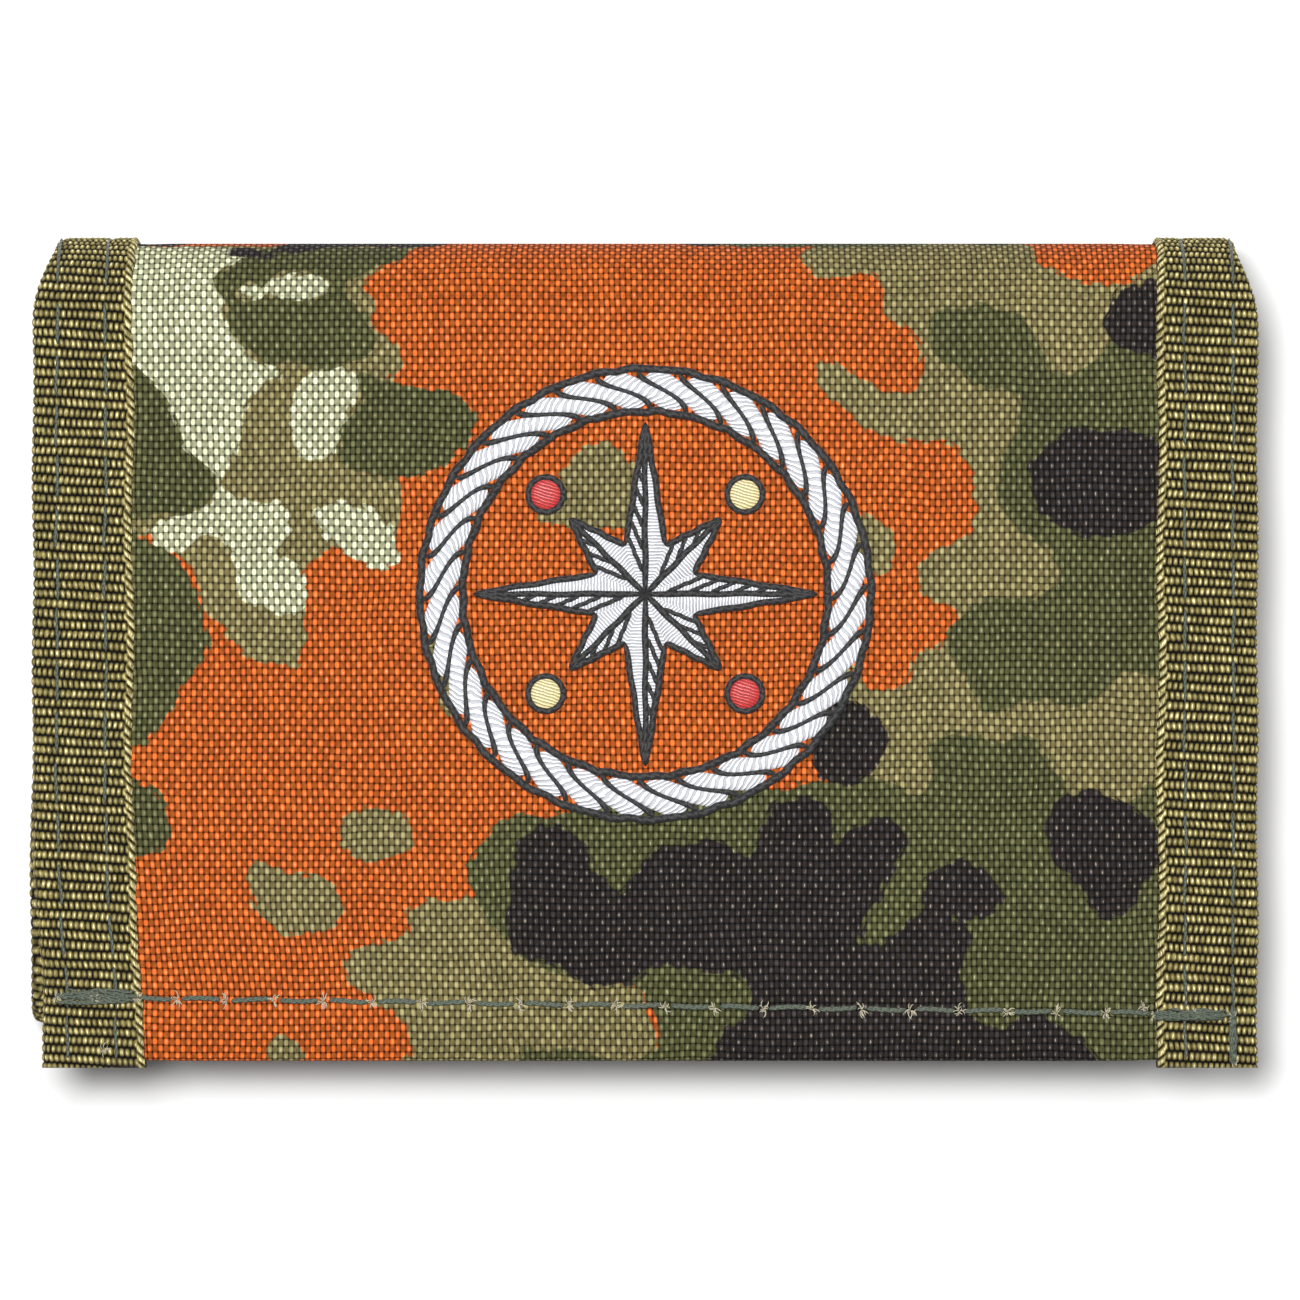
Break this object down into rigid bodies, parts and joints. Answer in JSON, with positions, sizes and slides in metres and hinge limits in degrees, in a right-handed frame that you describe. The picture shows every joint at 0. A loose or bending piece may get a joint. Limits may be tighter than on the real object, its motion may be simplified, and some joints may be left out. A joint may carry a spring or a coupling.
{
  "type": "trifold wallet",
  "caption": "Soft cloth wallet in three folding panels, with ribbed webbing edges, an embroidered round emblem, card slots, a clear window and a zipped coin flap.",
  "frame": {"origin": "centre of the closed wallet's footprint, on the surface it lies on", "axes": "+X along the folds, to the right of the front; +Y towards the top fold; +Z out of the front flap"},
  "size_m": [0.13, 0.088, 0.017],
  "materials": {
    "camouflage_cloth": "woven",
    "olive_webbing": "ribbed",
    "padding": "matte",
    "black_lining": "woven",
    "grey_green_thread": "satin",
    "emblem_grey_thread": "satin",
    "emblem_accent_thread": "satin",
    "hook_and_loop": "pile",
    "black_tape": "woven",
    "black_coil": "satin",
    "dark_metal": "satin",
    "clear_film": "gloss"
  },
  "bodies": {
    "back_panel": {"shell_back": "camouflage_cloth", "stiffener_back": "padding", "lining_back": "black_lining", "card_divider": "black_lining", "card_slot_1": "black_lining", "card_slot_2": "black_lining", "card_slot_3": "black_lining", "card_slot_4": "black_lining", "binding_left_back": "olive_webbing", "binding_right_back": "olive_webbing"},
    "top_spine": {"shell_top_fold": "camouflage_cloth", "lining_top_fold": "black_lining", "binding_left_top_fold": "olive_webbing", "binding_right_top_fold": "olive_webbing"},
    "front_flap": {"shell_front": "camouflage_cloth", "stiffener_front": "padding", "lining_front": "black_lining", "id_window": "clear_film", "id_window_edging": "black_lining", "hook_tape": "hook_and_loop", "emblem_ring": "emblem_grey_thread", "emblem_accents": "emblem_accent_thread", "emblem_star": "emblem_grey_thread", "binding_left_front": "olive_webbing", "binding_right_front": "olive_webbing", "binding_stitching_left": "grey_green_thread", "binding_stitching_right": "grey_green_thread", "hem_stitching": "grey_green_thread"},
    "lower_spine": {"shell_lower_fold": "camouflage_cloth", "lining_lower_fold": "black_lining", "binding_left_lower_fold": "olive_webbing", "binding_right_lower_fold": "olive_webbing"},
    "coin_flap": {"shell_coin_flap": "camouflage_cloth", "coin_pocket_back": "black_lining", "coin_face_lower": "black_lining", "coin_face_upper": "black_lining", "loop_tape": "hook_and_loop", "zip_tape_lower": "black_tape", "zip_tape_upper": "black_tape", "zip_coil_lower": "black_coil", "zip_coil_upper": "black_coil", "zip_stop_left": "dark_metal", "zip_stop_right": "dark_metal", "binding_left_coin_flap": "olive_webbing", "binding_right_coin_flap": "olive_webbing"},
    "zip_slider": {"zip_slider": "dark_metal"},
    "zip_pull": {"zip_pull": "dark_metal"}
  },
  "joints": [
    {"name": "top_fold_back_crease", "type": "hinge", "parent": "back_panel", "child": "top_spine", "pos_m": [0, 0.04218, 0.00182], "axis": [-1, 0, 0], "range_deg": [0, 90]},
    {"name": "top_fold_front_crease", "type": "hinge", "parent": "top_spine", "child": "front_flap", "pos_m": [0, 0.04218, 0.01518], "axis": [-1, 0, 0], "range_deg": [0, 90]},
    {"name": "lower_fold_back_crease", "type": "hinge", "parent": "back_panel", "child": "lower_spine", "pos_m": [0, -0.03846, 0.00124], "axis": [1, 0, 0], "range_deg": [0, 90]},
    {"name": "lower_fold_coin_crease", "type": "hinge", "parent": "lower_spine", "child": "coin_flap", "pos_m": [0, -0.03846, 0.01036], "axis": [1, 0, 0], "range_deg": [0, 90]},
    {"name": "zip_slide", "type": "slide", "parent": "coin_flap", "child": "zip_slider", "axis": [-1, 0, 0], "range_m": [0, 0.088]},
    {"name": "zip_pull_swing", "type": "hinge", "parent": "zip_slider", "child": "zip_pull", "pos_m": [0.044, -0.008, 0.0067], "axis": [0, -1, 0], "range_deg": [0, 170]}
  ],
  "couplings": [
    {"joint": "top_fold_front_crease", "follows": "top_fold_back_crease", "ratio": 1},
    {"joint": "lower_fold_back_crease", "follows": "top_fold_back_crease", "ratio": 1},
    {"joint": "lower_fold_coin_crease", "follows": "top_fold_back_crease", "ratio": 1},
    {"joint": "zip_pull_swing", "follows": "top_fold_back_crease", "ratio": 1.8888}
  ]
}
